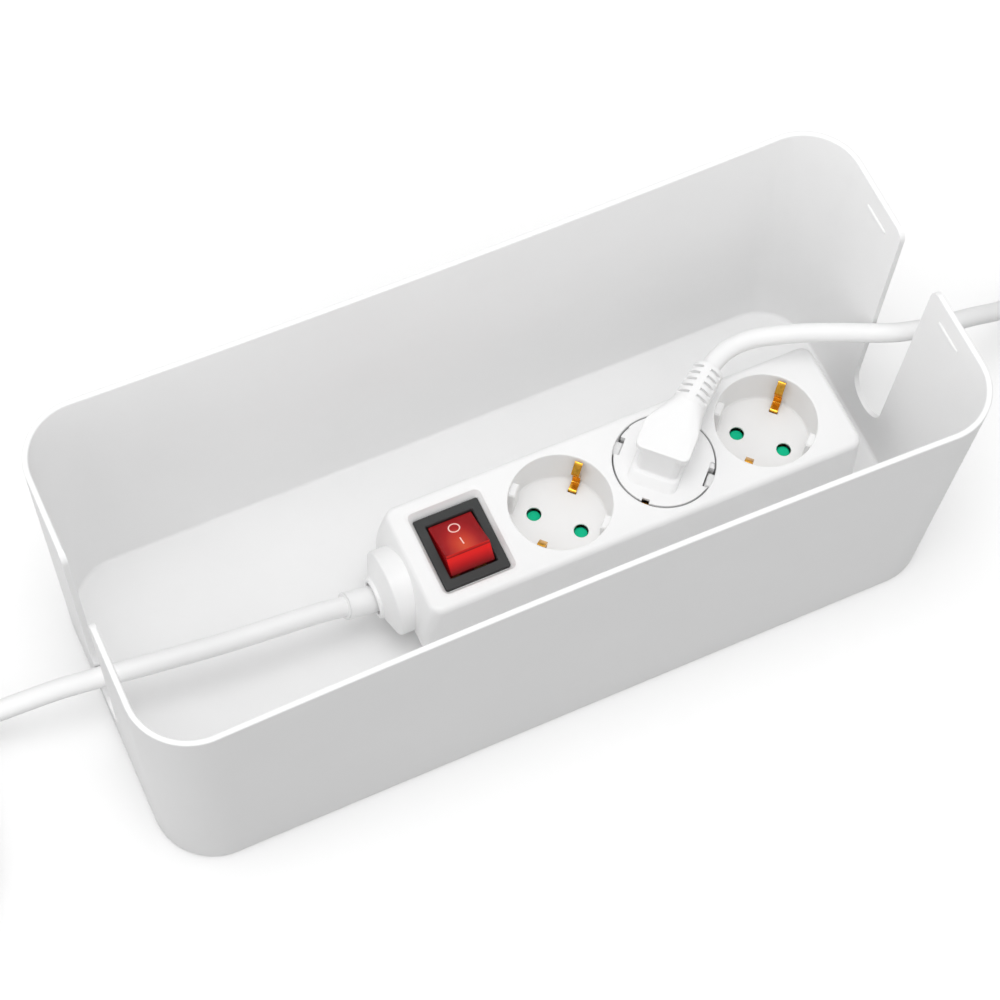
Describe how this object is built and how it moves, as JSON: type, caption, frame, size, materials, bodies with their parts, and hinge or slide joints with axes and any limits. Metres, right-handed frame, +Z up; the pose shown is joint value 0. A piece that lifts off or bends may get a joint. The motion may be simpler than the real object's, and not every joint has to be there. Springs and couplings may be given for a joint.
{
  "type": "cable management box",
  "caption": "Open white cable box with slotted ends, holding a switched socket strip on its supply lead and an angled plug whose lead leaves at the far end.",
  "frame": {"origin": "middle of the box's underside, on the surface that it stands on", "axes": "+X along the box from the switch end to the plain end, +Y to the rear, +Z up"},
  "size_m": [0.7984, 0.1404, 0.1236],
  "materials": {
    "white_box": "smooth satin white",
    "white_shell": "smooth satin white",
    "white_rubber": "satin white soft plastic",
    "steel": "zinc plated",
    "nickel": "nickel plated",
    "brass": "bare brass",
    "gold_clip": "bright plated",
    "green_shutter": "satin green",
    "dark_frame": "fine matt dark grey",
    "red_rocker": "translucent glossy red",
    "lamp_glass": "clear glass lamp",
    "brown_wire": "smooth insulation",
    "blue_wire": "smooth insulation",
    "green_wire": "smooth insulation",
    "black_tie": "satin black"
  },
  "bodies": {
    "box": {"box_tub": "white_box"},
    "strip": {"upper_housing": "white_shell", "lower_housing": "white_shell", "housing_screws": "steel", "live_rail": "brass", "neutral_rail": "brass", "earth_rail": "gold_clip", "socket_shutter_2": "green_shutter", "shutter_spring_1": "steel", "shutter_spring_2": "steel", "shutter_spring_3": "steel", "switch_frame": "dark_frame", "switch_terminals": "brass", "neon_lamp": "lamp_glass", "gland_cap": "white_shell", "cord_sleeve": "white_rubber", "inner_jacket": "white_rubber", "cord_clamp": "white_shell", "clamp_screws": "steel", "live_wire": "brown_wire", "neutral_wire": "blue_wire", "earth_wire": "green_wire", "live_link": "brown_wire", "neutral_link": "blue_wire", "supply_lead": "white_rubber", "supply_coil": "white_rubber", "supply_tie": "black_tie", "mains_plug_body": "white_rubber", "mains_plug_pins": "nickel", "mains_plug_earth": "nickel", "mains_plug_boot": "white_rubber", "appliance_lead": "white_rubber", "appliance_coil": "white_rubber", "appliance_tie": "black_tie", "connector_body": "white_rubber", "connector_contacts": "brass", "connector_boot": "white_rubber"},
    "appliance_plug": {"appliance_plug_body": "white_rubber", "appliance_plug_pins": "nickel", "appliance_plug_earth": "nickel", "appliance_plug_boot": "white_rubber"},
    "rocker": {"switch_rocker": "red_rocker"},
    "shutter_left": {"socket_shutter_1": "green_shutter"},
    "shutter_right": {"socket_shutter_3": "green_shutter"}
  },
  "joints": [
    {"name": "strip_lift", "type": "slide", "parent": "box", "child": "strip", "axis": [0, 0, 1], "range_m": [0, 0.13]},
    {"name": "plug_pull", "type": "slide", "parent": "strip", "child": "appliance_plug", "axis": [0, 0, 1], "range_m": [0, 0.045], "deforming": ["appliance_lead"]},
    {"name": "rocker_tip", "type": "hinge", "parent": "strip", "child": "rocker", "pos_m": [-0.01815, -0.00165, 0.0381], "axis": [1, 0, 0], "range_deg": [0, 46]},
    {"name": "shutter_turn_left", "type": "hinge", "parent": "strip", "child": "shutter_left", "pos_m": [0.0221, -0.0018, 0.024], "axis": [0, 0, 1], "range_deg": [-42, 0], "stiffness_Nm_per_rad": 0.004},
    {"name": "shutter_turn_right", "type": "hinge", "parent": "strip", "child": "shutter_right", "pos_m": [0.1085, -0.0018, 0.024], "axis": [0, 0, 1], "range_deg": [-42, 0], "stiffness_Nm_per_rad": 0.004}
  ]
}
